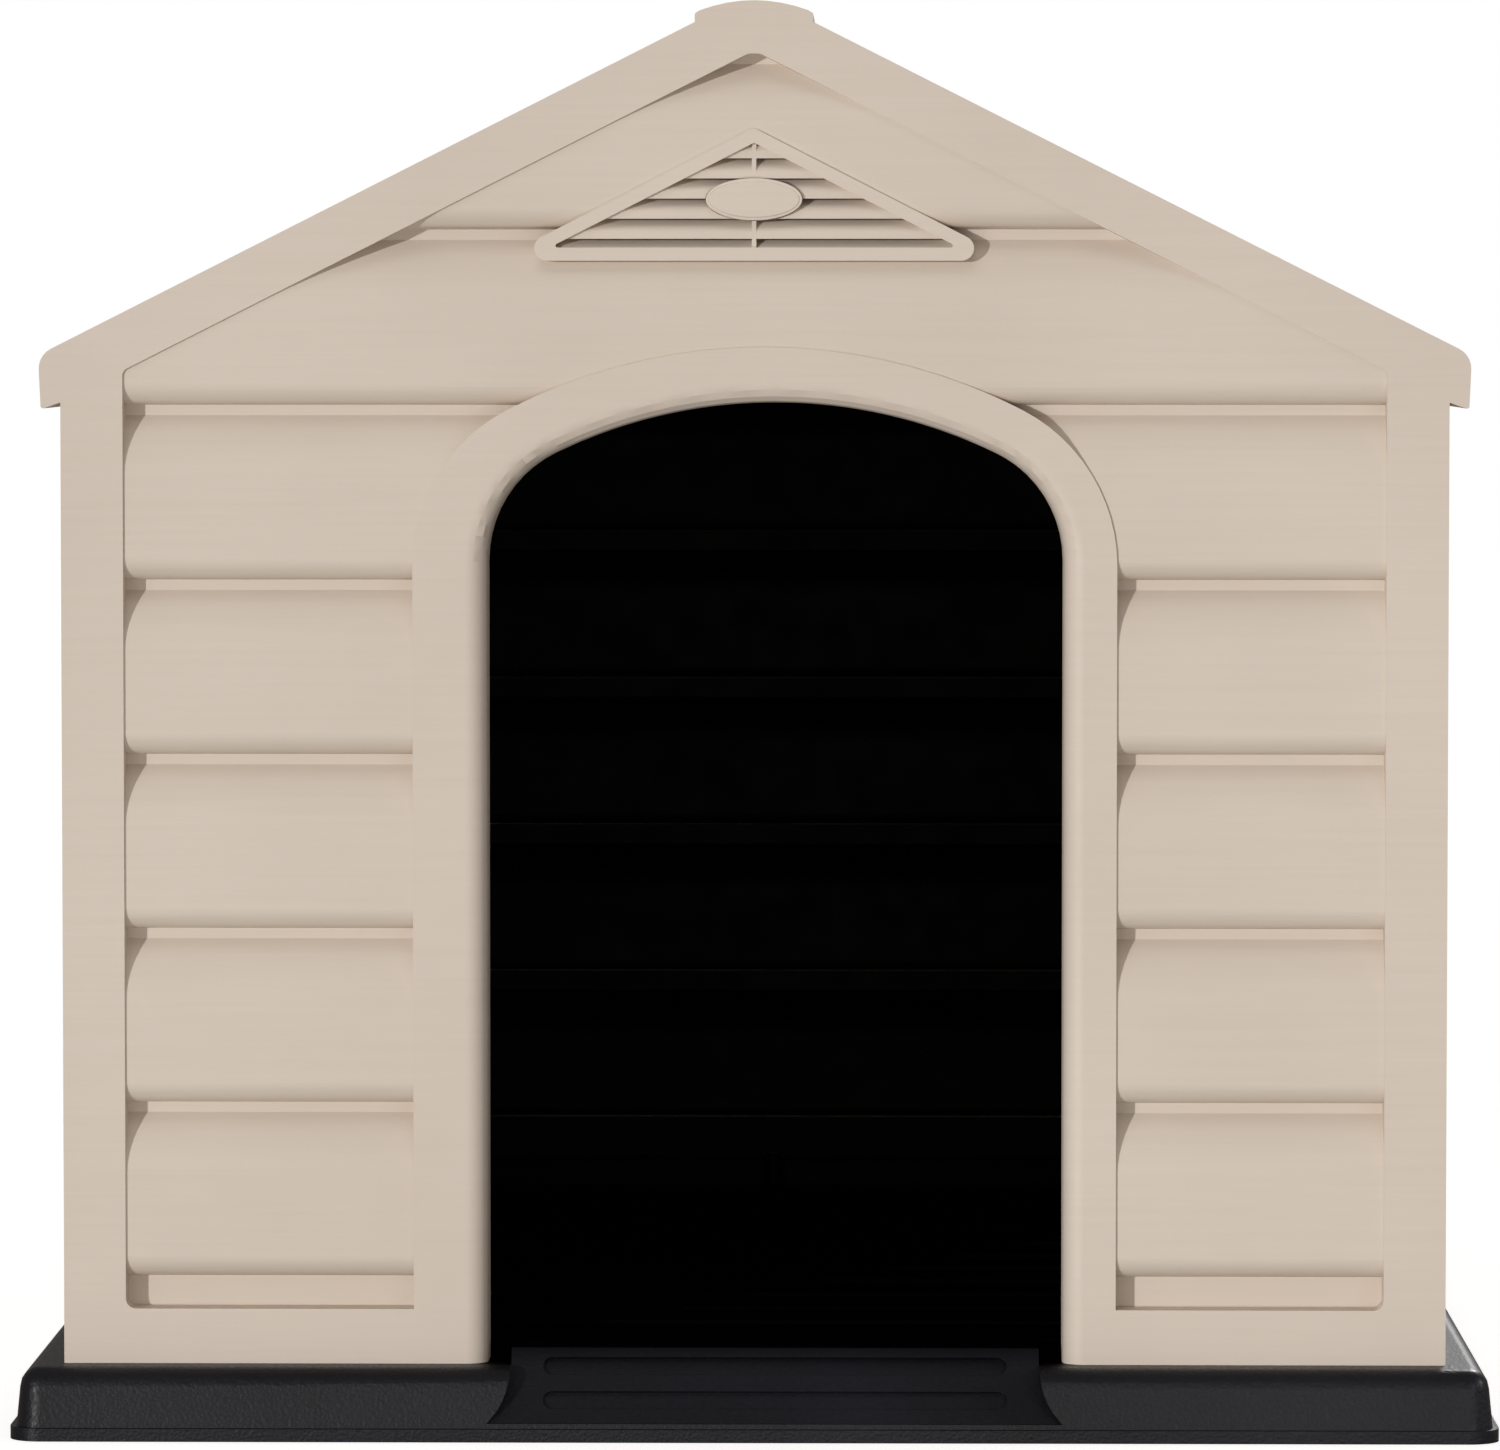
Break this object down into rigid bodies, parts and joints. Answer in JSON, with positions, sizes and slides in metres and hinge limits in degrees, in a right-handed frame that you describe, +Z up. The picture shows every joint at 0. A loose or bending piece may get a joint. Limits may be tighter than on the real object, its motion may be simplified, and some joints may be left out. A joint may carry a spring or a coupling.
{
  "type": "small-animal hutch",
  "caption": "Moulded resin gabled animal hutch with clapboard walls, an arched open doorway, louvred gable vents, a lift-off ridged roof and a raised base tray.",
  "frame": {"origin": "on the ground under the middle of the base tray", "axes": "+Z up, the doorway faces -Y, +X to the right for a viewer who looks at the doorway"},
  "size_m": [0.744, 0.85, 0.7172],
  "materials": {
    "cream_resin": "fine moulded satin",
    "charcoal_resin": "fine leather-grain moulded",
    "zinc_steel": "zinc plated"
  },
  "bodies": {
    "house": {"base_tray": "charcoal_resin", "front_panel": "cream_resin", "rear_panel": "cream_resin", "left_panel": "cream_resin", "right_panel": "cream_resin", "front_vent_grille": "cream_resin", "rear_vent_grille": "cream_resin", "front_vent_badge": "cream_resin", "rear_vent_badge": "cream_resin", "corner_screws": "zinc_steel", "base_screws": "zinc_steel"},
    "roof": {"roof_left": "cream_resin", "roof_right": "cream_resin", "ridge_cap": "cream_resin", "ridge_bolts": "zinc_steel", "ridge_nuts": "zinc_steel"}
  },
  "joints": [
    {"name": "roof_lift", "type": "slide", "parent": "house", "child": "roof", "axis": [0, 0, 1], "range_m": [0, 0.26]}
  ]
}
